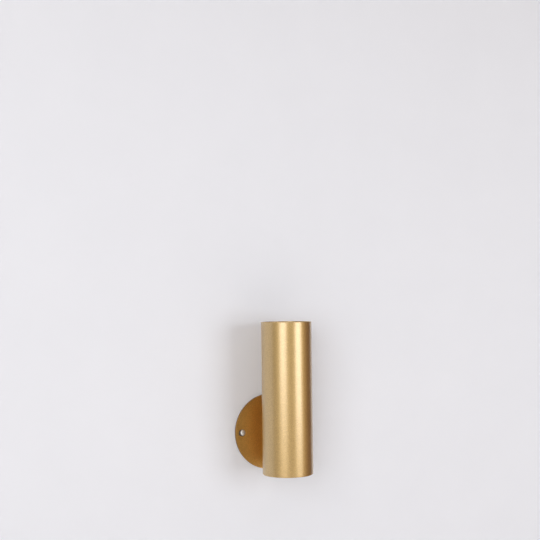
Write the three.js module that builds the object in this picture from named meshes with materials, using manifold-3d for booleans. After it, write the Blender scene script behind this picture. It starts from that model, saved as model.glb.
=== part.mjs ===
// Wall vase: an open cylinder on a short arm, carried by a round plate that is screwed to a wall.
// Millimetres, +Z up. The origin is the centre of the plate's back face, on the wall's surface at y = 0.
// The vase stands in front of the wall, towards -Y.

import * as THREE from 'three';
import { mergeVertices } from 'three/addons/utils/BufferGeometryUtils.js';
import Module from 'manifold-3d';

// The vase: a straight tube, closed near its lower end by a flat disc.
const VASE_DIAMETER = 60;
const VASE_HEIGHT = 180;
const VASE_WALL = 1.2;
const RIM_ROUND = 0.4;
const BOTTOM_ROUND = 0.8;
const BASE_THICKNESS = 1.5;
const BASE_RECESS = 1;

// The wall plate. Its centre lies PLATE_HEIGHT above the bottom of the vase.
const PLATE_DIAMETER = 92;
const PLATE_THICKNESS = 2.5;
const PLATE_EDGE_ROUND = 0.3;
const PLATE_HEIGHT = 45;

// The arm fills ARM_REACH from the front of the plate to the back of the vase, with a washer behind it.
const ARM_DIAMETER = 10;
const ARM_REACH = 19.5;
const ARM_EDGE = 0.6;
const WASHER_THICKNESS = 0.8;
const WASHER_INSET = 0.5;

// The countersunk screw through the plate into the arm, driven by a hexagon key from behind.
const ARM_SCREW_DIAMETER = 4;
const ARM_SCREW_HEAD_DIAMETER = 8;
const ARM_SCREW_LENGTH = 12;
const ARM_SCREW_SINK = 0.2;
const ARM_SCREW_END = 0.6;
const ARM_HOLE_SPARE = 1.5;
const HEX_KEY = 2.5;
const HEX_DEPTH = 1.6;

// The two wall screws, each SCREW_RIM_DISTANCE in from the plate's rim, with domed heads and cross recesses.
const SCREW_RIM_DISTANCE = 8.5;
const SCREW_DIAMETER = 3.5;
const SCREW_LENGTH = 35;
const SCREW_POINT = 5;
const SCREW_HEAD_DIAMETER = 8.5;
const SCREW_HEAD_HEIGHT = 3.6;
const SCREW_HEAD_SIDE = 0.6;
const CROSS_SPAN = 4;
const CROSS_WIDTH = 1;
const CROSS_DEPTH = 1.8;

// The wall plugs, set PLUG_DEPTH below the wall's surface, split behind a plain collar and ribbed there.
const PLUG_DIAMETER = 6;
const PLUG_LENGTH = 30;
const PLUG_DEPTH = 2.5;
const PLUG_COLLAR = 8;
const PLUG_RIB_PITCH = 4;
const PLUG_RIB_HEIGHT = 0.4;
const PLUG_SLIT = 0.8;

// Room around a piece in its hole or against a curved neighbour, and between flat faces that bear together.
const CLEARANCE = 0.3;
const SEAT = 0.1;

// How finely round forms are cut.
const VASE_SIDES = 72;
const ARM_SIDES = 48;
const SMALL_SIDES = 24;
const HEX_SIDES = 6;
const ROUND_STEPS = 2;

// Sizes and places that follow from those above.
const VASE_RADIUS = VASE_DIAMETER / 2;
const BORE_RADIUS = VASE_RADIUS - VASE_WALL;
const PLATE_RADIUS = PLATE_DIAMETER / 2;
const PLATE_FRONT = -PLATE_THICKNESS;
const WASHER_BACK = PLATE_FRONT - SEAT;
const WASHER_FRONT = WASHER_BACK - WASHER_THICKNESS;
const ARM_BACK = WASHER_FRONT - SEAT;
const VASE_AXIS = PLATE_FRONT - ARM_REACH - VASE_RADIUS;
const ARM_RADIUS = ARM_DIAMETER / 2;
const ARM_SCREW_RADIUS = ARM_SCREW_DIAMETER / 2;
const ARM_SCREW_HOLE = ARM_SCREW_RADIUS + CLEARANCE;
const ARM_SCREW_BACK = -ARM_SCREW_SINK;
const ARM_SCREW_FRONT = ARM_SCREW_BACK - ARM_SCREW_LENGTH;
const SCREW_OFFSET = PLATE_RADIUS - SCREW_RIM_DISTANCE;
const SCREW_RADIUS = SCREW_DIAMETER / 2;
const SCREW_HOLE = SCREW_RADIUS + CLEARANCE;
const HEAD_UNDERSIDE = PLATE_FRONT - SEAT;
const SIDES = { left: -1, right: 1 };

const GOLD = new THREE.MeshStandardMaterial({ color: '#c8a463', roughness: 0.38, metalness: 1 });
const PLATE_GOLD = new THREE.MeshStandardMaterial({ color: '#b88a46', roughness: 0.4, metalness: 1 });
const ZINC = new THREE.MeshStandardMaterial({ color: '#c9c8c5', roughness: 0.25, metalness: 1 });
const BLACK_STEEL = new THREE.MeshStandardMaterial({ color: '#33322f', roughness: 0.45, metalness: 1 });
const NYLON_GREY = new THREE.MeshStandardMaterial({ color: '#a9adb1', roughness: 0.6, metalness: 0 });
const NYLON_WHITE = new THREE.MeshStandardMaterial({ color: '#e6e3db', roughness: 0.55, metalness: 0 });

const wasm = await Module();
wasm.setup();

// A closed geometry as a solid that can be joined and cut.
function toSolid(geometry) {
  geometry.deleteAttribute('normal');
  geometry.deleteAttribute('uv');
  const merged = mergeVertices(geometry);
  const corners = merged.getIndex().array;
  const kept = [];
  for (let i = 0; i < corners.length; i += 3) {
    const [a, b, c] = corners.slice(i, i + 3);
    if (a !== b && b !== c && c !== a) kept.push(a, b, c);
  }
  const vertProperties = new Float32Array(merged.getAttribute('position').array);
  const triVerts = new Uint32Array(kept);
  return new wasm.Manifold(new wasm.Mesh({ numProp: 3, vertProperties, triVerts }));
}

function toMesh(name, solid, material) {
  const { vertProperties, triVerts } = solid.getMesh();
  const geometry = new THREE.BufferGeometry();
  geometry.setAttribute('position', new THREE.BufferAttribute(vertProperties, 3));
  geometry.setIndex(new THREE.BufferAttribute(triVerts, 1));
  geometry.computeVertexNormals();
  const mesh = new THREE.Mesh(geometry, material);
  mesh.name = name;
  return mesh;
}

// A body turned about the Y axis. The path runs through points (radius, y), with y rising on outer walls.
function turned(path, sides) {
  return new THREE.LatheGeometry(path.getPoints(ROUND_STEPS), sides);
}

// A straight round rod along Y, from y = low to y = high.
function rod(radius, low, high, sides) {
  const geometry = new THREE.CylinderGeometry(radius, radius, high - low, sides);
  return geometry.translate(0, (low + high) / 2, 0);
}

function makeVaseTube() {
  const rim = Math.min(RIM_ROUND, VASE_WALL / 2);
  const bottom = Math.min(BOTTOM_ROUND, VASE_WALL / 2 + rim);
  const path = new THREE.Path();
  path.moveTo(BORE_RADIUS, 0);
  path.lineTo(VASE_RADIUS - bottom, 0);
  path.absarc(VASE_RADIUS - bottom, bottom, bottom, -Math.PI / 2, 0);
  path.absarc(VASE_RADIUS - rim, VASE_HEIGHT - rim, rim, 0, Math.PI / 2);
  path.absarc(BORE_RADIUS + rim, VASE_HEIGHT - rim, rim, Math.PI / 2, Math.PI);
  path.lineTo(BORE_RADIUS, 0);
  const tube = turned(path, VASE_SIDES).rotateX(Math.PI / 2);
  return toMesh('vase_tube', toSolid(tube), GOLD);
}

function makeVaseBase() {
  const disc = rod(BORE_RADIUS - CLEARANCE, BASE_RECESS, BASE_RECESS + BASE_THICKNESS, VASE_SIDES);
  return toMesh('vase_base', toSolid(disc.rotateX(Math.PI / 2)), GOLD);
}

// The disc with its eased front edge, the two screw holes and the countersunk hole in the middle.
function makeWallPlate() {
  const round = Math.min(PLATE_EDGE_ROUND, PLATE_THICKNESS / 2);
  const path = new THREE.Path();
  path.moveTo(0, PLATE_FRONT);
  path.lineTo(PLATE_RADIUS - round, PLATE_FRONT);
  path.absarc(PLATE_RADIUS - round, PLATE_FRONT + round, round, -Math.PI / 2, 0);
  path.lineTo(PLATE_RADIUS, 0);
  path.lineTo(0, 0);
  let plate = toSolid(turned(path, VASE_SIDES));
  for (const side of Object.values(SIDES)) {
    const hole = rod(SCREW_HOLE, PLATE_FRONT - CLEARANCE, CLEARANCE, SMALL_SIDES);
    plate = plate.subtract(toSolid(hole.translate(side * SCREW_OFFSET, 0, 0)));
  }
  return toMesh('wall_plate', plate.subtract(toSolid(countersink())), PLATE_GOLD);
}

// The cutter for the countersunk hole: the screw's cone with room around it, over its straight hole.
function countersink() {
  const mouth = ARM_SCREW_HEAD_DIAMETER / 2 + CLEARANCE;
  const coneEnd = ARM_SCREW_BACK - (mouth - ARM_SCREW_HOLE);
  const path = new THREE.Path();
  path.moveTo(0, Math.min(PLATE_FRONT, coneEnd) - CLEARANCE);
  path.lineTo(ARM_SCREW_HOLE, Math.min(PLATE_FRONT, coneEnd) - CLEARANCE);
  path.lineTo(ARM_SCREW_HOLE, coneEnd);
  path.lineTo(mouth, ARM_SCREW_BACK);
  path.lineTo(mouth, CLEARANCE);
  path.lineTo(0, CLEARANCE);
  return turned(path, SMALL_SIDES);
}

function makeFrictionWasher() {
  const outer = ARM_RADIUS - WASHER_INSET;
  const path = new THREE.Path();
  path.moveTo(ARM_SCREW_HOLE, WASHER_FRONT);
  path.lineTo(outer, WASHER_FRONT);
  path.lineTo(outer, WASHER_BACK);
  path.lineTo(ARM_SCREW_HOLE, WASHER_BACK);
  path.lineTo(ARM_SCREW_HOLE, WASHER_FRONT);
  return toMesh('friction_washer', toSolid(turned(path, ARM_SIDES)), NYLON_WHITE);
}

// The round stub, hollowed at its front to the curve of the vase and drilled from behind for its screw.
function makeArm() {
  const edge = Math.min(ARM_EDGE, ARM_REACH / 2);
  const path = new THREE.Path();
  path.moveTo(0, VASE_AXIS);
  path.lineTo(ARM_RADIUS, VASE_AXIS);
  path.lineTo(ARM_RADIUS, ARM_BACK - edge);
  path.lineTo(ARM_RADIUS - edge, ARM_BACK);
  path.lineTo(0, ARM_BACK);
  const vase = rod(VASE_RADIUS + CLEARANCE, -ARM_DIAMETER, ARM_DIAMETER, VASE_SIDES);
  const saddle = vase.rotateX(Math.PI / 2).translate(0, VASE_AXIS, 0);
  const hole = rod(ARM_SCREW_HOLE, ARM_SCREW_FRONT - ARM_HOLE_SPARE, ARM_BACK + CLEARANCE, SMALL_SIDES);
  const stub = toSolid(turned(path, ARM_SIDES)).subtract(toSolid(saddle));
  return toMesh('arm', stub.subtract(toSolid(hole)), GOLD);
}

function makeArmScrew() {
  const head = ARM_SCREW_HEAD_DIAMETER / 2;
  const path = new THREE.Path();
  path.moveTo(0, ARM_SCREW_FRONT);
  path.lineTo(ARM_SCREW_RADIUS - ARM_SCREW_END, ARM_SCREW_FRONT);
  path.lineTo(ARM_SCREW_RADIUS, ARM_SCREW_FRONT + ARM_SCREW_END);
  path.lineTo(ARM_SCREW_RADIUS, ARM_SCREW_BACK - (head - ARM_SCREW_RADIUS));
  path.lineTo(head, ARM_SCREW_BACK);
  path.lineTo(0, ARM_SCREW_BACK);
  const keyRadius = HEX_KEY / 2 / Math.cos(Math.PI / HEX_SIDES);
  const socket = rod(keyRadius, ARM_SCREW_BACK - HEX_DEPTH, ARM_SCREW_BACK + CLEARANCE, HEX_SIDES);
  const screw = toSolid(turned(path, SMALL_SIDES)).subtract(toSolid(socket));
  return toMesh('arm_screw', screw, BLACK_STEEL);
}

function makeWallScrew(name) {
  const head = SCREW_HEAD_DIAMETER / 2;
  const headFront = HEAD_UNDERSIDE - SCREW_HEAD_HEIGHT;
  const domeEdge = HEAD_UNDERSIDE - SCREW_HEAD_SIDE;
  const rise = domeEdge - headFront;
  const domeRadius = (head * head + rise * rise) / (2 * rise);
  const domeCentre = headFront + domeRadius;
  const tip = HEAD_UNDERSIDE + SCREW_LENGTH;
  const path = new THREE.Path();
  path.absarc(0, domeCentre, domeRadius, -Math.PI / 2, Math.atan2(domeEdge - domeCentre, head));
  path.lineTo(head, HEAD_UNDERSIDE);
  path.lineTo(SCREW_RADIUS, HEAD_UNDERSIDE);
  path.lineTo(SCREW_RADIUS, tip - SCREW_POINT);
  path.lineTo(0, tip);
  let screw = toSolid(turned(path, SMALL_SIDES));
  for (const [width, height] of [[CROSS_SPAN, CROSS_WIDTH], [CROSS_WIDTH, CROSS_SPAN]]) {
    const slot = new THREE.BoxGeometry(width, 2 * CROSS_DEPTH, height);
    screw = screw.subtract(toSolid(slot.translate(0, headFront, 0)));
  }
  return toMesh(name, screw, ZINC);
}

function makeWallPlug(name) {
  const end = PLUG_DEPTH + PLUG_LENGTH;
  const outer = PLUG_DIAMETER / 2;
  const path = new THREE.Path();
  path.moveTo(SCREW_HOLE, PLUG_DEPTH);
  path.lineTo(outer, PLUG_DEPTH);
  let rib = PLUG_DEPTH + PLUG_COLLAR;
  for (; rib + PLUG_RIB_PITCH < end; rib += PLUG_RIB_PITCH) {
    path.lineTo(outer, rib);
    path.lineTo(outer - PLUG_RIB_HEIGHT, rib);
    path.lineTo(outer, rib + PLUG_RIB_PITCH);
  }
  path.lineTo(outer - PLUG_RIB_HEIGHT, end);
  path.lineTo(SCREW_HOLE, end);
  path.lineTo(SCREW_HOLE, PLUG_DEPTH);
  const slit = new THREE.BoxGeometry(PLUG_SLIT, PLUG_LENGTH, PLUG_DIAMETER + 2 * CLEARANCE);
  slit.translate(0, PLUG_DEPTH + PLUG_COLLAR + PLUG_LENGTH / 2, 0);
  const plug = toSolid(turned(path, SMALL_SIDES)).subtract(toSolid(slit));
  return toMesh(name, plug, NYLON_GREY);
}

const wallVase = new THREE.Group();

wallVase.add(makeWallPlate());
for (const [side, sign] of Object.entries(SIDES)) {
  const fixing = new THREE.Group();
  fixing.add(makeWallScrew(`wall_screw_${side}`), makeWallPlug(`wall_plug_${side}`));
  fixing.position.x = sign * SCREW_OFFSET;
  wallVase.add(fixing);
}

wallVase.add(makeFrictionWasher(), makeArm(), makeArmScrew());

const vase = new THREE.Group();
vase.add(makeVaseTube(), makeVaseBase());
vase.position.set(0, VASE_AXIS, -PLATE_HEIGHT);
wallVase.add(vase);

export default wallVase;
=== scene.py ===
"""The looks of a gold wall vase: an open cylinder on a short arm, on a round plate that is screwed to a wall.

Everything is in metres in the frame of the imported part: +Z up, the wall's surface at y = 0 and the room
towards -Y.
"""

import math

import bmesh
import bpy
from mathutils import Matrix, Vector
from mathutils.geometry import delaunay_2d_cdt


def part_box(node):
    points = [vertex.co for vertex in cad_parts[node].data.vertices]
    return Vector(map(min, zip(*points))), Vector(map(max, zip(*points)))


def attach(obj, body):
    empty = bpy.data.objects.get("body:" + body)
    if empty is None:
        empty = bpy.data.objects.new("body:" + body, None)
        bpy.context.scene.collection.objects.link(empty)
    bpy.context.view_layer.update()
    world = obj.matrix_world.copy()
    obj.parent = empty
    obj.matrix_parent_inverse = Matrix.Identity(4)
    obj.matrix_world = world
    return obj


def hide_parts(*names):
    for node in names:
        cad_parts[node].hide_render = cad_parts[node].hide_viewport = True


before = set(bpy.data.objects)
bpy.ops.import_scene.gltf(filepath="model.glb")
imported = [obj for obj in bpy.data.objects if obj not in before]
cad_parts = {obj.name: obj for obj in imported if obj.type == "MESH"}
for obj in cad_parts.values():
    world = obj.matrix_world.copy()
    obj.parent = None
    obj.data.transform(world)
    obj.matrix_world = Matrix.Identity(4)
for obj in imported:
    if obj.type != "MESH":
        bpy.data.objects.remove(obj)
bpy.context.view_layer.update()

MM = 0.001

# The camera stands where the photograph was taken from: at the left of the vase, with a nearly level look.
CAMERA_PLACE = (-525.7 * MM, -1137.7 * MM, 160.1 * MM)
CAMERA_AZIMUTH = math.radians(24.96)
CAMERA_PITCH = math.radians(1.74)
CAMERA_ROLL = math.radians(-0.70)
FRAME_WIDTH_PX = 540
FOCAL_LENGTH_PX = 1012.4
SENSOR_WIDTH_MM = 36

# How finely round forms are cut.
TUBE_SIDES = 192
PLATE_SIDES = 192
ARM_SIDES = 96
SMALL_SIDES = 48
ROUND_STEPS = 6

# Turned pieces are drawn with their height along local Z. This turns local Z towards the room.
TO_ROOM = Matrix.Rotation(math.pi / 2, 4, "X")

# Cutters reach this far past what they cut.
CUTTER_SPARE = 1 * MM


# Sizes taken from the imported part

tube_low, tube_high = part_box("vase_tube")
base_low, base_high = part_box("vase_base")
plate_low, plate_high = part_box("wall_plate")
arm_low, arm_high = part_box("arm")
washer_low, washer_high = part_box("friction_washer")
arm_screw_low, arm_screw_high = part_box("arm_screw")

VASE_RADIUS = (tube_high.x - tube_low.x) / 2
VASE_AXIS = Vector(((tube_low.x + tube_high.x) / 2, (tube_low.y + tube_high.y) / 2, tube_low.z))
VASE_HEIGHT = tube_high.z - tube_low.z
BASE_HEIGHT = base_low.z - tube_low.z
BASE_THICKNESS = base_high.z - base_low.z
PLATE_RADIUS = (plate_high.x - plate_low.x) / 2
PLATE_THICKNESS = plate_high.y - plate_low.y
ARM_RADIUS = (arm_high.x - arm_low.x) / 2


# Mesh helpers

# Edges sharper than this stay sharp, closer points are one, and a narrower ring is a point on the axis.
SHARP_EDGE = math.radians(40)
WELD = 1e-7
ON_AXIS = 1e-9
# A ring stands on either side of a round, this share of it further out, to keep the flats flat.
GUARD_SHARE = 0.5


def rounded(corners):
    """The outline through corners (radius, height, round), each eased by its own round, ends left sharp."""
    points = []
    for i, (radius, height, ease) in enumerate(corners):
        here = Vector((radius, height))
        if ease == 0 or i in (0, len(corners) - 1):
            points.append(here)
            continue
        before = (Vector(corners[i - 1][:2]) - here).normalized()
        after = (Vector(corners[i + 1][:2]) - here).normalized()
        half = before.angle(after) / 2
        reach = ease / math.tan(half)
        guard = reach + GUARD_SHARE * ease
        centre = here + (before + after).normalized() * (ease / math.sin(half))
        start = here + before * reach - centre
        end = here + after * reach - centre
        turn = start.angle_signed(end)
        points.append(here + before * guard)
        for k in range(ROUND_STEPS + 1):
            spin = Matrix.Rotation(-turn * k / ROUND_STEPS, 2)
            points.append(centre + spin @ start)
        points.append(here + after * guard)
    return points


def make_piece(name, verts, faces, place):
    """A closed mesh object with outward faces, smooth apart from its sharp edges."""
    mesh = bpy.data.meshes.new(name)
    mesh.from_pydata(verts, [], faces)
    mesh.transform(place)
    clean(mesh)
    piece = bpy.data.objects.new(name, mesh)
    bpy.context.scene.collection.objects.link(piece)
    return piece


def clean(mesh):
    """Joins doubled points, turns the faces outwards and smooths the mesh apart from its sharp edges."""
    bm = bmesh.new()
    bm.from_mesh(mesh)
    bmesh.ops.remove_doubles(bm, verts=bm.verts, dist=WELD)
    bmesh.ops.recalc_face_normals(bm, faces=bm.faces)
    if bm.calc_volume(signed=True) < 0:
        bmesh.ops.reverse_faces(bm, faces=bm.faces)
    bm.to_mesh(mesh)
    bm.free()
    mesh.shade_smooth()
    mesh.set_sharp_from_angle(angle=SHARP_EDGE)


def bridge(faces, ring, following):
    """Adds the faces between two rings of vertex numbers. A ring of one vertex is a pole."""
    count = max(len(ring), len(following))
    for i in range(count):
        j = (i + 1) % count
        corners = [ring[i % len(ring)], ring[j % len(ring)]]
        corners += [following[j % len(following)], following[i % len(following)]]
        faces.append(list(dict.fromkeys(corners)))


def circle(radius, height, sides, centre=(0, 0), swell=None):
    """A level ring of points, or one point on the axis.

    swell(angle, radius, height) is added to the radius."""
    if radius < ON_AXIS:
        return [(*centre, height)]
    ring = []
    for i in range(sides):
        angle = 2 * math.pi * i / sides
        r = radius + (swell(angle, radius, height) if swell else 0)
        ring.append((centre[0] + r * math.cos(angle), centre[1] + r * math.sin(angle), height))
    return ring


def add_rings(verts, faces, rings):
    """Adds rings of points and the faces between them, and returns the rings as vertex numbers."""
    numbered = []
    for ring in rings:
        numbered.append(list(range(len(verts), len(verts) + len(ring))))
        verts += ring
    for ring, following in zip(numbered, numbered[1:]):
        bridge(faces, ring, following)
    return numbered


def loft(name, rings, place, loop=False):
    """A skin over rings of points. A loop joins the last ring to the first, and open ends are closed flat."""
    verts = []
    faces = []
    numbered = add_rings(verts, faces, rings)
    if loop:
        bridge(faces, numbered[-1], numbered[0])
    else:
        faces += [ring for ring in (numbered[0], numbered[-1]) if len(ring) > 1]
    return make_piece(name, verts, faces, place)


def turned(name, outline, sides, place, loop=False, swell=None):
    """A piece turned about local Z from an outline of (radius, height)."""
    return loft(name, [circle(p[0], p[1], sides, swell=swell) for p in outline], place, loop)


def cut(piece, cutter):
    """Cuts the cutter's shape out of the piece and removes the cutter."""
    modifier = piece.modifiers.new("cut", "BOOLEAN")
    modifier.operation = "DIFFERENCE"
    modifier.solver = "EXACT"
    modifier.object = cutter
    evaluated = piece.evaluated_get(bpy.context.evaluated_depsgraph_get())
    result = bpy.data.meshes.new_from_object(evaluated)
    piece.modifiers.clear()
    piece.data = result
    clean(result)
    bpy.data.objects.remove(cutter)


# Node helpers

# A noise keeps mostly to this middle range.
NOISE_LOW = 0.3
NOISE_HIGH = 0.7


def add_node(tree, kind, inputs, **options):
    """Adds a node with its options. Each input is a plain value to set or an output to link."""
    node = tree.nodes.new(kind)
    for option, value in options.items():
        setattr(node, option, value)
    for name, value in inputs.items():
        if isinstance(value, bpy.types.NodeSocket):
            tree.links.new(value, node.inputs[name])
        else:
            node.inputs[name].default_value = value
    return node


def opaque(colour):
    """A colour as a node takes it. An output that gives a colour stays as it is."""
    return colour if isinstance(colour, bpy.types.NodeSocket) else (*colour, 1)


def mix_colours(tree, first, second, share):
    """A colour that goes from the first to the second as the share goes from 0 to 1."""
    inputs = {"A": opaque(first), "B": opaque(second), "Factor": share}
    return add_node(tree, "ShaderNodeMix", inputs, data_type="RGBA").outputs["Result"]


def map_range(tree, source, start, end, low=0, high=1):
    """Maps start..end to low..high, and whatever lies outside to the nearer end."""
    inputs = {"Value": source, "From Min": start, "From Max": end, "To Min": low, "To Max": high}
    return add_node(tree, "ShaderNodeMapRange", inputs).outputs["Result"]


class Surface:
    """A material with its node tree and shader at hand."""

    def __init__(self, name):
        self.material = bpy.data.materials.new(name)
        self.material.use_nodes = True
        self.tree = self.material.node_tree
        self.shader = self.tree.nodes["Principled BSDF"]
        self.place = add_node(self.tree, "ShaderNodeTexCoord", {}).outputs["Object"]

    def set(self, **values):
        """Sets the shader's sockets, whose names have _ for a blank."""
        for socket, value in values.items():
            self.shader.inputs[socket.replace("_", " ")].default_value = value

    def feed(self, socket, source):
        """Links an output to one of the shader's sockets."""
        self.tree.links.new(source, self.shader.inputs[socket])

    def noise(self, size, detail=2, rough=0.5):
        """A noise whose features are about this size in metres."""
        inputs = {"Vector": self.place, "Scale": 1 / size, "Detail": detail, "Roughness": rough}
        return add_node(self.tree, "ShaderNodeTexNoise", inputs).outputs["Fac"]

    def flakes(self, size):
        """A value from 0 to 1 that is picked afresh for each flake of about this size in metres."""
        cells = add_node(self.tree, "ShaderNodeTexVoronoi", {"Vector": self.place, "Scale": 1 / size})
        split = add_node(self.tree, "ShaderNodeSeparateColor", {"Color": cells.outputs["Color"]})
        return split.outputs["Red"]

    def away(self, weights, centre=(0, 0, 0)):
        """How far a place, with each axis weighted, is from a centre."""
        factors = {0: self.place, 1: weights}
        weighted = add_node(self.tree, "ShaderNodeVectorMath", factors, operation="MULTIPLY")
        ends = {0: weighted.outputs["Vector"], 1: centre}
        return add_node(self.tree, "ShaderNodeVectorMath", ends, operation="DISTANCE").outputs["Value"]

    def scale(self, colour, by):
        """A colour times a value."""
        inputs = {0: colour, "Scale": by}
        return add_node(self.tree, "ShaderNodeVectorMath", inputs, operation="SCALE").outputs["Vector"]

    def spread(self, source, low, high, start=NOISE_LOW, end=NOISE_HIGH):
        """Maps start..end, which is a noise's middle range unless it is given, to low..high."""
        return map_range(self.tree, source, start, end, low, high)

    def mix(self, first, second, share):
        """A colour that goes from the first to the second as the share goes from 0 to 1."""
        return mix_colours(self.tree, first, second, share)

    def bump(self, source, depth, **under):
        """A normal roughened by this depth in metres, over the one given as Normal, if any."""
        inputs = {"Height": source, "Distance": depth, **under}
        return add_node(self.tree, "ShaderNodeBump", inputs).outputs["Normal"]


# Materials. Where a surface has two shades, the darker comes first.

VASE_GOLD = ((0.528, 0.358, 0.120), (0.588, 0.399, 0.139))
VASE_COAT = 1.0
VASE_ROUGHNESS = 0.46
PLATE_GOLD = ((0.69, 0.436, 0.143), (0.79, 0.500, 0.167))
PLATE_COAT = 0.18
PLATE_ROUGHNESS = 0.37

# The gold's clear coat, its flakes, and how much they and its roughness swing.
COAT_ROUGHNESS = 0.265
COAT_IOR = 2.0
FLAKE_SIZE = 0.35 * MM
FLAKE_SWING = 0.16
ROUGHNESS_SWING = 0.02

# Painted shade on the plate: its gold darkens from this share of the radius outwards, more to the sides than
# up and down, until this share of its brightness is left at the rim.
RIM_SHADE_START = 0.6
RIM_SHADE_SHARE = 0.7
RIM_SHADE_WEIGHTS = (1, 0, 0.6)
# The painted shade on the plate's cut edge, which hides the edge's reflection. It starts and is full at these
# distances in from the rim.
PAINTED_EDGE_SHADE = (0.26, 0.15, 0.05)
EDGE_SHADE_START = 0.3 * MM
EDGE_SHADE_FULL = 0.05 * MM
# These weights leave only what a distance measures along the wall.
ACROSS_WALL = (1, 0, 1)

ZINC = ((0.66, 0.66, 0.65), (0.86, 0.86, 0.84))
ZINC_METALLIC = 0.72
# Painted shade on a screw head: a dark foot, heaviest at the lower left. It starts and is full at these
# distances from a lit spot beside the centre.
PAINTED_HEAD_SHADE = (0.12, 0.10, 0.08)
HEAD_SHADE_SHIFT = (0.9 * MM, 0.5 * MM)
HEAD_SHADE_START = 3.2 * MM
HEAD_SHADE_FULL = 4.0 * MM

BLACK_STEEL = ((0.035, 0.034, 0.032), (0.075, 0.072, 0.068))
GREY_NYLON = ((0.36, 0.38, 0.40), (0.43, 0.45, 0.47))
WHITE_NYLON = ((0.70, 0.68, 0.62), (0.78, 0.76, 0.70))
NYLON_GLOW = 0.15
NYLON_GLOW_DEPTH = 0.8 * MM

WALL_PAINT = ((0.79, 0.828, 0.905), (0.82, 0.858, 0.935))
WALL_ROUGHNESS = 0.85
FLOOR_PAINT = ((0.80, 0.78, 0.75), (0.86, 0.84, 0.81))
FLOOR_ROUGHNESS = 0.7


def gold_coat(name, shades, coat, rough):
    """Satin metallic gold under a clear coat.

    It has a fine grain of flakes, a faint orange peel and a slight unevenness."""
    surface = Surface(name)
    surface.set(Metallic=1.0, Coat_Weight=coat, Coat_Roughness=COAT_ROUGHNESS, Coat_IOR=COAT_IOR)
    cloud = surface.spread(surface.noise(size=2 * MM, detail=3, rough=0.6), low=0, high=1)
    flakes = surface.flakes(FLAKE_SIZE)
    glint = surface.spread(flakes, low=1 - FLAKE_SWING, high=1 + FLAKE_SWING, start=0, end=1)
    surface.colour = surface.scale(surface.mix(*shades, cloud), glint)
    surface.feed("Base Color", surface.colour)
    patches = surface.noise(size=6 * MM, detail=4)
    surface.feed("Roughness", surface.spread(patches, rough - ROUGHNESS_SWING, rough + ROUGHNESS_SWING))
    peel = surface.bump(surface.noise(size=2.2 * MM), depth=0.012 * MM)
    grain = surface.noise(size=0.4 * MM, rough=0.6)
    surface.feed("Normal", surface.bump(grain, depth=0.02 * MM, Normal=peel))
    return surface


def plate_gold():
    """The same gold with a thinner clear coat, with painted shade towards the sides and on the cut edge of
    the disc.
    """
    surface = gold_coat("gold_plate_coat", PLATE_GOLD, PLATE_COAT, PLATE_ROUGHNESS)
    from_middle = surface.away(RIM_SHADE_WEIGHTS)
    # Painted shade: the plate's gold darkens towards its sides.
    rim_shade = surface.spread(from_middle, 1, RIM_SHADE_SHARE, RIM_SHADE_START * PLATE_RADIUS, PLATE_RADIUS)
    to_rim = surface.away(ACROSS_WALL)
    # Painted shade: the cut edge of the plate is darkened.
    edge = surface.spread(to_rim, 0, 1, PLATE_RADIUS - EDGE_SHADE_START, PLATE_RADIUS - EDGE_SHADE_FULL)
    surface.feed("Base Color", surface.mix(surface.scale(surface.colour, rim_shade), PAINTED_EDGE_SHADE, edge))
    return surface.material


def zinc(name, centre):
    """Bright zinc plating on steel, with painted shade round the edge of a head, most of it at the lower
    left.
    """
    surface = Surface(name)
    surface.set(Metallic=ZINC_METALLIC)
    bright = surface.mix(*ZINC, surface.noise(size=0.9 * MM, detail=4))
    # Painted shade: the head darkens away from a lit spot that is shifted up and to the right of its centre.
    lit_spot = (centre.x + HEAD_SHADE_SHIFT[0], 0, centre.z + HEAD_SHADE_SHIFT[1])
    head_shade = surface.spread(surface.away(ACROSS_WALL, lit_spot), 0, 1, HEAD_SHADE_START, HEAD_SHADE_FULL)
    surface.feed("Base Color", surface.mix(bright, PAINTED_HEAD_SHADE, head_shade))
    surface.feed("Roughness", surface.spread(surface.noise(size=0.5 * MM, detail=3), low=0.32, high=0.42))
    surface.feed("Normal", surface.bump(surface.noise(size=0.25 * MM, detail=3), depth=0.006 * MM))
    return surface.material


def nylon(name, shades):
    """Moulded nylon with a faint cloudiness and a fine mould texture."""
    surface = Surface(name)
    surface.set(Subsurface_Weight=NYLON_GLOW, Subsurface_Scale=NYLON_GLOW_DEPTH)
    surface.feed("Base Color", surface.mix(*shades, surface.noise(size=3 * MM, detail=3)))
    surface.feed("Roughness", surface.spread(surface.noise(size=0.8 * MM, detail=3), low=0.42, high=0.58))
    surface.feed("Normal", surface.bump(surface.noise(size=0.2 * MM), depth=0.008 * MM))
    return surface.material


def blackened():
    """Blackened steel with a thin oil sheen."""
    surface = Surface("blackened_steel")
    surface.set(Metallic=1.0)
    surface.feed("Base Color", surface.mix(*BLACK_STEEL, surface.noise(size=0.7 * MM, detail=4)))
    surface.feed("Roughness", surface.spread(surface.noise(size=0.4 * MM, detail=3), low=0.30, high=0.45))
    surface.feed("Normal", surface.bump(surface.noise(size=0.2 * MM, detail=3), depth=0.006 * MM))
    return surface.material


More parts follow.
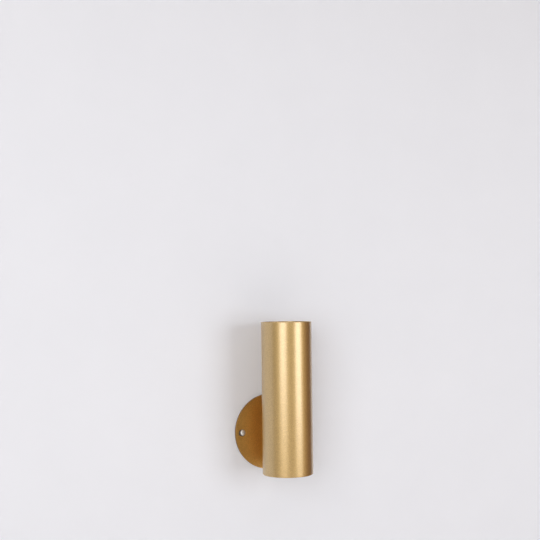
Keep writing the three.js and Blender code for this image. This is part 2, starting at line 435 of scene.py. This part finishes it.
def paint_wall():
    """Pale matt wall paint. Its back is clear, so that the part is seen from behind the wall."""
    surface = Surface("wall_paint")
    surface.set(Roughness=WALL_ROUGHNESS)
    surface.feed("Base Color", surface.mix(*WALL_PAINT, surface.noise(size=80 * MM, detail=3)))
    surface.feed("Normal", surface.bump(surface.noise(size=2 * MM, detail=4), depth=0.05 * MM))
    back = add_node(surface.tree, "ShaderNodeNewGeometry", {}).outputs["Backfacing"]
    clear = add_node(surface.tree, "ShaderNodeBsdfTransparent", {}).outputs["BSDF"]
    sides = {"Fac": back, 1: surface.shader.outputs["BSDF"], 2: clear}
    both = add_node(surface.tree, "ShaderNodeMixShader", sides).outputs["Shader"]
    surface.tree.links.new(both, surface.tree.nodes["Material Output"].inputs["Surface"])
    return surface.material


def paint_floor():
    """Pale floor paint."""
    surface = Surface("floor_paint")
    surface.set(Roughness=FLOOR_ROUGHNESS)
    surface.feed("Base Color", surface.mix(*FLOOR_PAINT, surface.noise(size=300 * MM, detail=3)))
    return surface.material


# Camera, stage and light

WALL_HALF_WIDTH = 4.0
WALL_HEIGHT = 3.0
FLOOR_HEIGHT = -0.6
FLOOR_REACH = 12.0
# The wall stands a hair in front of the plate's back, so that the back isn't hidden from behind.
WALL_FACE = -0.3 * MM

SOFTBOX_DISTANCE = 1.6
# An area light of one square metre needs this power for a radiance of 1.
POWER_OF_RADIANCE = 4

ROOM_LEFT = (0.235, 0.217, 0.20)
ROOM_RIGHT = (0.195, 0.181, 0.167)
CEILING = (0.98, 0.83, 0.73)
# The ceiling's start and full strength, as the upward part of a direction.
CEILING_START = 0.45
CEILING_FULL = 0.85
# The glow of the two panels that only reflections show: a painted dark warm reflection on the vase's right
# edge.
NEAR_PANEL_GLOW = (0.14, 0.065, 0.045)
FAR_PANEL_GLOW = (0.275, 0.135, 0.055)


def make_camera():
    data = bpy.data.cameras.new("camera")
    data.sensor_width = SENSOR_WIDTH_MM
    data.lens = SENSOR_WIDTH_MM * FOCAL_LENGTH_PX / FRAME_WIDTH_PX
    camera = bpy.data.objects.new("camera", data)
    swing = Matrix.Rotation(-CAMERA_AZIMUTH, 4, "Z")
    raised = Matrix.Rotation(math.pi / 2 + CAMERA_PITCH, 4, "X")
    rolled = Matrix.Rotation(CAMERA_ROLL, 4, "Z")
    camera.matrix_world = Matrix.Translation(CAMERA_PLACE) @ swing @ raised @ rolled
    bpy.context.scene.collection.objects.link(camera)
    bpy.context.scene.camera = camera


def make_sheet(name, corners, material):
    """A flat sheet of the stage."""
    mesh = bpy.data.meshes.new(name)
    mesh.from_pydata(corners, [], [list(range(len(corners)))])
    mesh.materials.append(material)
    sheet = bpy.data.objects.new(name, mesh)
    bpy.context.scene.collection.objects.link(sheet)
    return sheet


def make_stage():
    """The wall that carries the part, and a floor far below it."""
    left = -WALL_HALF_WIDTH
    right = WALL_HALF_WIDTH
    top = FLOOR_HEIGHT + WALL_HEIGHT
    wall = [(left, WALL_FACE, FLOOR_HEIGHT), (right, WALL_FACE, FLOOR_HEIGHT)]
    wall += [(right, WALL_FACE, top), (left, WALL_FACE, top)]
    make_sheet("wall", wall, paint_wall())
    reach = FLOOR_REACH
    floor = [(-reach, -reach, FLOOR_HEIGHT), (reach, -reach, FLOOR_HEIGHT)]
    floor += [(reach, reach, FLOOR_HEIGHT), (-reach, reach, FLOOR_HEIGHT)]
    make_sheet("floor", floor, paint_floor())


def make_softbox(name, azimuth, width, low, high, radiance):
    """A tall soft light, at this azimuth in degrees right of the wall's normal, that faces the vase."""
    data = bpy.data.lights.new(name, "AREA")
    data.shape = "RECTANGLE"
    data.size = width
    data.size_y = high - low
    data.energy = POWER_OF_RADIANCE * radiance * width * (high - low)
    lamp = bpy.data.objects.new(name, data)
    turn = math.radians(azimuth)
    sideways = math.sin(turn) * SOFTBOX_DISTANCE
    forward = VASE_AXIS.y - math.cos(turn) * SOFTBOX_DISTANCE
    lamp.location = (sideways, forward, (low + high) / 2)
    aim = Vector((VASE_AXIS.x - sideways, VASE_AXIS.y - forward, 0))
    lamp.rotation_euler = aim.to_track_quat("-Z", "Y").to_euler()
    lamp.visible_camera = False
    bpy.context.scene.collection.objects.link(lamp)


def make_panel(name, distance, near, far, low, high, glow):
    """A glowing panel square to the wall, at the right of the vase, which lights nothing. Only metal shows
    it, as a painted dark warm reflection along its edge.
    """
    surface = Surface(name + "_reflection_glow")
    surface.set(Base_Color=opaque((0, 0, 0)), Emission_Color=opaque(glow), Emission_Strength=1.0)
    corners = [(distance, -near, low), (distance, -far, low), (distance, -far, high), (distance, -near, high)]
    panel = make_sheet(name, corners, surface.material)
    panel.visible_camera = False
    panel.visible_diffuse = False
    panel.visible_shadow = False


def make_world():
    """A plain grey room, darker towards the right, under a pale ceiling."""
    world = bpy.data.worlds.new("room")
    bpy.context.scene.world = world
    world.use_nodes = True
    tree = world.node_tree
    direction = add_node(tree, "ShaderNodeTexCoord", {}).outputs["Generated"]
    split = add_node(tree, "ShaderNodeSeparateXYZ", {"Vector": direction})
    rightwards = map_range(tree, split.outputs["X"], -1, 1)
    upwards = map_range(tree, split.outputs["Z"], CEILING_START, CEILING_FULL)
    walls = mix_colours(tree, ROOM_LEFT, ROOM_RIGHT, rightwards)
    tree.links.new(mix_colours(tree, walls, CEILING, upwards), tree.nodes["Background"].inputs["Color"])


make_camera()
make_stage()
make_world()
make_softbox("left_softbox", azimuth=-41.5, width=0.85, low=-0.15, high=0.85, radiance=2.78)
make_softbox("right_softbox", azimuth=28.6, width=0.84, low=-0.21, high=0.54, radiance=3.15)
make_softbox("back_softbox", azimuth=205, width=0.9, low=-0.1, high=0.8, radiance=1.2)
make_panel("near_panel", distance=0.19, near=0.005, far=0.125, low=-0.6, high=0.6, glow=NEAR_PANEL_GLOW)
make_panel("far_panel", distance=0.40, near=0.02, far=0.45, low=-0.5, high=0.9, glow=FAR_PANEL_GLOW)
bpy.context.scene.view_settings.view_transform = "Standard"


# The vase

VASE_WALL = 1.2 * MM
BORE_RADIUS = VASE_RADIUS - VASE_WALL
RIM_ROUND = 0.45 * MM
BOTTOM_ROUND = 0.8 * MM
BORE_ROUND = 0.2 * MM
ON_VASE_AXIS = Matrix.Translation(VASE_AXIS)

# The base reaches a little into the tube's wall. A bead of braze stands on it, and a lower one hangs below.
BASE_OVERLAP = 0.1 * MM
BRAZE = 1.1 * MM
BRAZE_ROUND = 0.9 * MM
LOWER_BRAZE = 0.45 * MM
LOWER_BRAZE_ROUND = 0.6 * MM


def make_tube():
    outline = [
        (BORE_RADIUS, VASE_HEIGHT / 2, 0),
        (BORE_RADIUS, 0, BORE_ROUND),
        (VASE_RADIUS, 0, BOTTOM_ROUND),
        (VASE_RADIUS, VASE_HEIGHT, RIM_ROUND),
        (BORE_RADIUS, VASE_HEIGHT, RIM_ROUND),
        (BORE_RADIUS, VASE_HEIGHT / 2, 0),
    ]
    return turned("vase_tube_shell", rounded(outline)[:-1], TUBE_SIDES, ON_VASE_AXIS, loop=True)


def make_base():
    """The disc, with a small bead of braze against the tube's wall above and below."""
    edge = BORE_RADIUS + BASE_OVERLAP
    top = BASE_HEIGHT + BASE_THICKNESS
    outline = [
        (0, BASE_HEIGHT, 0),
        (edge - BRAZE, BASE_HEIGHT, LOWER_BRAZE_ROUND),
        (edge, BASE_HEIGHT - LOWER_BRAZE, 0),
        (edge, top + BRAZE, 0),
        (edge - BRAZE, top, BRAZE_ROUND),
        (0, top, 0),
    ]
    return turned("vase_base_disc", rounded(outline), TUBE_SIDES, ON_VASE_AXIS)


# The wall plate

PLATE_ROUND = 0.25 * MM
PLATE_BACK_ROUND = 0.2 * MM
# The plate's flat faces start this far in from its rim.
PLATE_BORDER = 3 * MM

# Each hole's border is the radius at which the plate's flat faces start.
SCREW_HOLE_RADIUS = 2.05 * MM
SCREW_HOLE_BORDER = 3.2 * MM
SCREW_HOLE_ROUND = 0.25 * MM
SCREW_HOLE_BACK_ROUND = 0.15 * MM
MIDDLE_HOLE_RADIUS = 2.3 * MM
MIDDLE_HOLE_BORDER = 6 * MM
MIDDLE_HOLE_ROUND = 0.1 * MM
# The countersink's cone, which starts and ends this far in front of the plate's back.
CONE_RADIUS = 4.3 * MM
CONE_START = 0.2 * MM
CONE_END = 2.2 * MM

# What the triangulation is told: to fill the whole outline, and when points are one.
WHOLE_OUTLINE = 0
SAME_POINT = 1e-9


def drilled_plate(name, rim, holes, place):
    """A disc with holes.

    The rim and each hole's wall are outlines of (radius, height), front face to back face."""
    verts = []
    faces = []
    fronts = []
    backs = []
    for centre, outline in [((0, 0), rim)] + holes:
        sides = PLATE_SIDES if outline is rim else SMALL_SIDES
        rings = add_rings(verts, faces, [circle(p[0], p[1], sides, centre) for p in outline])
        fronts.append(rings[0])
        backs.append(rings[-1])
    for rings, end in ((fronts, 0), (backs, -1)):
        numbers = [i for ring in rings for i in ring]
        spots = [Vector(verts[i][:2]) for i in numbers]
        edges = []
        start = 0
        for ring in rings:
            edges += [(start + k, start + (k + 1) % len(ring)) for k in range(len(ring))]
            start += len(ring)
        _, _, triangles, *_ = delaunay_2d_cdt(spots, edges, [], WHOLE_OUTLINE, SAME_POINT)
        for triangle in triangles:
            middle = sum((spots[k] for k in triangle), Vector((0, 0))) / len(triangle)
            if all((middle - Vector(centre)).length > outline[end][0] for centre, outline in holes):
                faces.append([numbers[k] for k in triangle])
    return make_piece(name, verts, faces, place)


def make_plate():
    """The disc, with its two screw holes and the countersunk hole in the middle."""
    rim = rounded([
        (PLATE_RADIUS - PLATE_BORDER, PLATE_THICKNESS, 0),
        (PLATE_RADIUS, PLATE_THICKNESS, PLATE_ROUND),
        (PLATE_RADIUS, 0, PLATE_BACK_ROUND),
        (PLATE_RADIUS - PLATE_BORDER, 0, 0),
    ])
    screw_hole = rounded([
        (SCREW_HOLE_BORDER, PLATE_THICKNESS, 0),
        (SCREW_HOLE_RADIUS, PLATE_THICKNESS, SCREW_HOLE_ROUND),
        (SCREW_HOLE_RADIUS, 0, SCREW_HOLE_BACK_ROUND),
        (SCREW_HOLE_BORDER, 0, 0),
    ])
    middle_hole = rounded([
        (MIDDLE_HOLE_BORDER, PLATE_THICKNESS, 0),
        (MIDDLE_HOLE_RADIUS, PLATE_THICKNESS, MIDDLE_HOLE_ROUND),
        (MIDDLE_HOLE_RADIUS, CONE_END, 0),
        (CONE_RADIUS, CONE_START, 0),
        (CONE_RADIUS, 0, MIDDLE_HOLE_ROUND),
        (MIDDLE_HOLE_BORDER, 0, 0),
    ])
    holes = []
    for node in ("wall_screw_left", "wall_screw_right"):
        low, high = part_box(node)
        holes.append((((low.x + high.x) / 2, 0), screw_hole))
    holes.append(((0, 0), middle_hole))
    return drilled_plate("wall_plate_disc", rim, holes, TO_ROOM)


# The arm and its washer

ARM_BACK = -arm_high.y
ARM_EDGE = 0.6 * MM
ARM_HOLE_RADIUS = 2.2 * MM
ARM_HOLE_ROUND = 0.3 * MM
ARM_HOLE_SPARE = 1.5 * MM
ARM_HOLE_END = -arm_screw_low.y + ARM_HOLE_SPARE
ARM_SIDE_STEPS = 4

# The fillet of braze between the arm and the vase. Its edge and its foot are sunk into the vase's wall.
FILLET = 1.6 * MM
FILLET_STEPS = 8
FILLET_EDGE_SINK = 0.05 * MM
FILLET_SINK = 0.5 * MM

WASHER_ROUND = 0.25 * MM
WASHER_HOLE_ROUND = 0.15 * MM


def vase_back(x):
    """How far the back of the vase stands from the wall, this far sideways of the vase's axis."""
    return -VASE_AXIS.y - math.sqrt(VASE_RADIUS ** 2 - x ** 2)


def on_vase(radius, sink):
    """A ring of this radius about the arm's axis, laid on the back of the vase and sunk into its wall."""
    return [(x, y, vase_back(x) + sink) for x, y, _ in circle(radius, 0, ARM_SIDES)]


def make_arm():
    """The round stub with its blind screw hole, and the fillet of braze that runs out on to the vase."""
    stub = rounded([
        (0, ARM_HOLE_END, 0),
        (ARM_HOLE_RADIUS, ARM_HOLE_END, 0),
        (ARM_HOLE_RADIUS, ARM_BACK, ARM_HOLE_ROUND),
        (ARM_RADIUS, ARM_BACK, ARM_EDGE),
        (ARM_RADIUS, ARM_BACK + 2 * ARM_EDGE, 0),
    ])
    rings = [circle(p[0], p[1], ARM_SIDES) for p in stub]
    foot = rings[-1]
    joint = on_vase(ARM_RADIUS, 0)
    for k in range(1, ARM_SIDE_STEPS):
        share = k / ARM_SIDE_STEPS
        ring = []
        for (x, y, z), (_, _, top) in zip(foot, joint):
            ring.append((x, y, z + (top - FILLET - z) * share))
        rings.append(ring)
    rim = on_vase(ARM_RADIUS + FILLET, FILLET_EDGE_SINK)
    for k in range(FILLET_STEPS + 1):
        t = k / FILLET_STEPS
        ring = []
        for corner, end in zip(joint, rim):
            corner = Vector(corner)
            start = corner - Vector((0, 0, FILLET))
            ring.append(tuple((1 - t) ** 2 * start + 2 * t * (1 - t) * corner + t ** 2 * Vector(end)))
        rings.append(ring)
    rings.append(on_vase(ARM_RADIUS + FILLET, FILLET_SINK))
    rings.append(on_vase(ARM_RADIUS / 2, FILLET_SINK))
    rings.append([(0, 0, vase_back(0) + FILLET_SINK)])
    return loft("arm_stub", rings, TO_ROOM)


def make_washer():
    outer = (washer_high.x - washer_low.x) / 2
    back = -washer_high.y
    front = -washer_low.y
    middle = (back + front) / 2
    outline = rounded([
        (ARM_HOLE_RADIUS, middle, 0),
        (ARM_HOLE_RADIUS, back, WASHER_HOLE_ROUND),
        (outer, back, WASHER_ROUND),
        (outer, front, WASHER_ROUND),
        (ARM_HOLE_RADIUS, front, WASHER_HOLE_ROUND),
        (ARM_HOLE_RADIUS, middle, 0),
    ])
    return turned("friction_washer_ring", outline[:-1], ARM_SIDES, TO_ROOM, loop=True)


# Screws

THREAD_STEPS = 12
# A thread is cut no deeper than this share of the radius, so that a point stays whole.
THREAD_LIMIT = 0.35

ARM_SCREW_HEAD = -arm_screw_high.y
ARM_SCREW_END = -arm_screw_low.y
ARM_SCREW_RADIUS = 2 * MM
ARM_SCREW_PITCH = 0.7 * MM
ARM_THREAD_DEPTH = 0.4 * MM
ARM_THREAD_CREST = 0.9
ARM_SCREW_CHAMFER = 0.6 * MM
# The countersunk head: its straight rim, the rounds beside it, and what its neck adds to a plain cone.
ARM_HEAD_RIM = 0.3 * MM
ARM_HEAD_TOP_ROUND = 0.12 * MM
ARM_HEAD_RIM_ROUND = 0.1 * MM
ARM_HEAD_NECK = 0.2 * MM
HEX_SIDES = 6
HEX_KEY = 2.5 * MM
HEX_DEPTH = 1.6 * MM
HEX_POINT = 0.6 * MM

# The wall screws' heads bear on the plate with this much room.
SCREW_SEAT = PLATE_THICKNESS + 0.05 * MM
SCREW_RADIUS = 1.75 * MM
SCREW_PITCH = 1.6 * MM
SCREW_POINT = 6 * MM
SCREW_THREAD_DEPTH = 0.55 * MM
SCREW_THREAD_CREST = 0.55
# The smooth neck below the head, and where its first ring is.
SCREW_NECK = 5 * MM
SCREW_NECK_RING = 2 * MM
HEAD_SIDE = 0.6 * MM
HEAD_ROUND = 0.25 * MM
HEAD_SEAT_ROUND = 0.15 * MM
HEAD_NECK_ROUND = 0.1 * MM
DOME_STEPS = 2 * ROUND_STEPS

# The cross recess in millimetres: half its span, half a wing's width and the height above the head's top.
CROSS_WINGS = 4
CROSS_SECTIONS = ((1.6, 0.45, 0.6), (1.35, 0.36, -0.3), (0.8, 0.27, -0.8), (0.35, 0.18, -1.1))
# How far each cross is turned, in degrees, as the screw came to rest.
CROSS_TURNS = {"wall_screw_left": 24, "wall_screw_right": -31}


def thread(low, high, pitch, depth, crest):
    """A swell that cuts a screw thread from height low to high, running out at both ends.

    crest is the share of a pitch that the ridge takes at its foot."""
    def swell(angle, radius, height):
        if not low < height < high:
            return 0
        turn = (height / pitch + angle / (2 * math.pi)) % 1
        ridge = max(0, 1 - abs(turn - 1 / 2) / (crest / 2))
        runout = min(1, (height - low) / pitch, (high - height) / pitch)
        return -min(depth, THREAD_LIMIT * radius) * runout * (1 - ridge)
    return swell


def steps(start, end, pitch):
    """Heights from start to end, close enough for a thread of this pitch."""
    count = math.ceil(abs(end - start) * THREAD_STEPS / pitch)
    return [start + (end - start) * k / count for k in range(count + 1)]


def square_to_wall(low, high):
    """The place of a piece that is turned about the line square to the wall through its box's middle."""
    return Matrix.Translation(((low.x + high.x) / 2, 0, 0)) @ TO_ROOM


def make_arm_screw():
    """The countersunk machine screw, with a hexagon socket in its head."""
    head = (arm_screw_high.x - arm_screw_low.x) / 2
    neck = ARM_SCREW_HEAD + ARM_HEAD_NECK + head - ARM_SCREW_RADIUS
    outline = rounded([
        (0, ARM_SCREW_HEAD, 0),
        (head, ARM_SCREW_HEAD, ARM_HEAD_TOP_ROUND),
        (head, ARM_SCREW_HEAD + ARM_HEAD_RIM, ARM_HEAD_RIM_ROUND),
        (ARM_SCREW_RADIUS, neck, 0),
    ])
    tip = ARM_SCREW_END - ARM_SCREW_CHAMFER
    outline += [(ARM_SCREW_RADIUS, z) for z in steps(neck, tip, ARM_SCREW_PITCH)[1:]]
    outline += [(ARM_SCREW_RADIUS - ARM_SCREW_CHAMFER, ARM_SCREW_END), (0, ARM_SCREW_END)]
    swell = thread(neck, ARM_SCREW_END, ARM_SCREW_PITCH, ARM_THREAD_DEPTH, ARM_THREAD_CREST)
    screw = turned("arm_screw_body", outline, SMALL_SIDES, TO_ROOM, swell=swell)
    corner = HEX_KEY / math.sqrt(3)
    floor = ARM_SCREW_HEAD + HEX_DEPTH
    socket = [(corner, ARM_SCREW_HEAD - CUTTER_SPARE), (corner, floor), (0, floor + HEX_POINT)]
    cut(screw, turned("hex_key", socket, HEX_SIDES, TO_ROOM))
    return screw


def cross_cutter(top, turn):
    """A cross-head driver's tip, pointing into the head: four wings that narrow towards the point."""
    rings = []
    for span, width, height in CROSS_SECTIONS:
        ring = []
        for wing in range(CROSS_WINGS):
            spin = Matrix.Rotation(math.radians(turn + wing * 360 / CROSS_WINGS), 2)
            for along, across in ((width, -span), (width, -width), (span, -width)):
                spot = spin @ Vector((along, across))
                ring.append((spot.x * MM, spot.y * MM, top + height * MM))
        rings.append(ring)
    return rings


def make_wall_screw(node):
    """The wood screw: a domed head with a cross recess, a smooth neck, a coarse thread and a point."""
    low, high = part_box(node)
    place = square_to_wall(low, high)
    head = (high.x - low.x) / 2
    top = -low.y
    tip = -high.y
    rise = top - SCREW_SEAT - HEAD_SIDE
    dome = (head ** 2 + rise ** 2) / (2 * rise)
    reach = math.asin(head / dome)
    outline = []
    for k in range(DOME_STEPS):
        angle = reach * k / DOME_STEPS
        outline.append((dome * math.sin(angle), top - dome * (1 - math.cos(angle))))
    outline += rounded([
        outline[-1] + (0,),
        (head, SCREW_SEAT + HEAD_SIDE, HEAD_ROUND),
        (head, SCREW_SEAT, HEAD_SEAT_ROUND),
        (SCREW_RADIUS, SCREW_SEAT, HEAD_NECK_ROUND),
        (SCREW_RADIUS, SCREW_SEAT - SCREW_NECK_RING, 0),
    ])[1:]
    point = tip + SCREW_POINT
    thread_start = SCREW_SEAT - SCREW_NECK
    outline += [(SCREW_RADIUS, z) for z in steps(thread_start, point, SCREW_PITCH)]
    outline += [(SCREW_RADIUS * (z - tip) / SCREW_POINT, z) for z in steps(point, tip, SCREW_PITCH)[1:]]
    swell = thread(tip, thread_start, SCREW_PITCH, SCREW_THREAD_DEPTH, SCREW_THREAD_CREST)
    screw = turned(node + "_body", outline, SMALL_SIDES, place, swell=swell)
    cut(screw, loft("driver", cross_cutter(top, CROSS_TURNS[node]), place))
    return screw


# Wall plugs

PLUG_BORE = 2.05 * MM
PLUG_BORE_ROUND = 0.25 * MM
PLUG_MOUTH_ROUND = 0.3 * MM
PLUG_COLLAR = 8 * MM
PLUG_COLLAR_STEPS = 5
PLUG_SLIT = 0.8 * MM
RIB_PITCH = 4 * MM
RIB_HEIGHT = 0.45 * MM
RIB_DROP = 0.3 * MM
RIB_ROUND = 0.1 * MM
PLUG_END_TAPER = 0.1 * MM
PLUG_END_ROUND = 0.08 * MM
PLUG_END_BORE_ROUND = 0.05 * MM

# The fins, which rise and fall over FIN_RAMP, keep clear of the plug's mouth and of its ribs.
FIN_HEIGHT = 0.5 * MM
FIN_WIDTH = math.radians(9)
FIN_RAMP = 1 * MM
FIN_TO_MOUTH = 1.5 * MM
FIN_TO_RIBS = 0.5 * MM


def make_wall_plug(node):
    """The nylon plug: a plain collar with two fins, then saw-tooth ribs, split along its length."""
    low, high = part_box(node)
    place = square_to_wall(low, high)
    outer = (high.x - low.x) / 2
    front = -low.y
    end = -high.y
    inner = outer - RIB_HEIGHT
    ribs_start = front - PLUG_COLLAR
    corners = [
        (PLUG_BORE, (front + end) / 2, 0),
        (PLUG_BORE, front, PLUG_BORE_ROUND),
        (outer, front, PLUG_MOUTH_ROUND),
    ]
    for k in range(1, PLUG_COLLAR_STEPS):
        corners.append((outer, front - PLUG_COLLAR * k / PLUG_COLLAR_STEPS, 0))
    rib = ribs_start
    while rib - RIB_PITCH > end:
        corners += [(outer, rib, RIB_ROUND), (inner, rib - RIB_DROP, RIB_ROUND)]
        rib -= RIB_PITCH
    corners += [
        (outer, rib, RIB_ROUND),
        (inner - PLUG_END_TAPER, end, PLUG_END_ROUND),
        (PLUG_BORE, end, PLUG_END_BORE_ROUND),
        corners[0],
    ]

    def fins(angle, radius, height):
        if radius <= inner:
            return 0
        near = min(abs(math.sin(angle)) / math.sin(FIN_WIDTH), 1)
        room = min(front - FIN_TO_MOUTH - height, height - ribs_start - FIN_TO_RIBS)
        along = min(1, max(0, room / FIN_RAMP))
        return FIN_HEIGHT * (1 - near) * along

    plug = turned(node + "_body", rounded(corners)[:-1], SMALL_SIDES, place, loop=True, swell=fins)
    half = PLUG_SLIT / 2
    reach = 2 * outer
    ends = (ribs_start, end - CUTTER_SPARE)
    slit = [[(-half, -reach, z), (half, -reach, z), (half, reach, z), (-half, reach, z)] for z in ends]
    cut(plug, loft("slit", slit, place))
    return plug


# The pieces, each on its body and in place of its node

def dress(piece, node, body, material):
    """Gives a piece its material and puts it in place of its node."""
    piece.data.materials.clear()
    piece.data.materials.append(material)
    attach(piece, body)
    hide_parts(node)


gold = gold_coat("gold_coat", VASE_GOLD, VASE_COAT, VASE_ROUGHNESS).material
plug_nylon = nylon("moulded_grey_nylon", GREY_NYLON)
washer_nylon = nylon("moulded_white_nylon", WHITE_NYLON)

dress(make_tube(), "vase_tube", "vase_side", gold)
dress(make_base(), "vase_base", "vase_side", gold)
dress(make_plate(), "wall_plate", "wall_side", plate_gold())
dress(make_arm(), "arm", "vase_side", gold)
dress(make_arm_screw(), "arm_screw", "vase_side", blackened())
dress(make_washer(), "friction_washer", "wall_side", washer_nylon)
for side in ("left", "right"):
    low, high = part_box("wall_screw_" + side)
    plating = zinc("zinc_plating_" + side, (low + high) / 2)
    dress(make_wall_screw("wall_screw_" + side), "wall_screw_" + side, "wall_side", plating)
    dress(make_wall_plug("wall_plug_" + side), "wall_plug_" + side, "wall_side", plug_nylon)
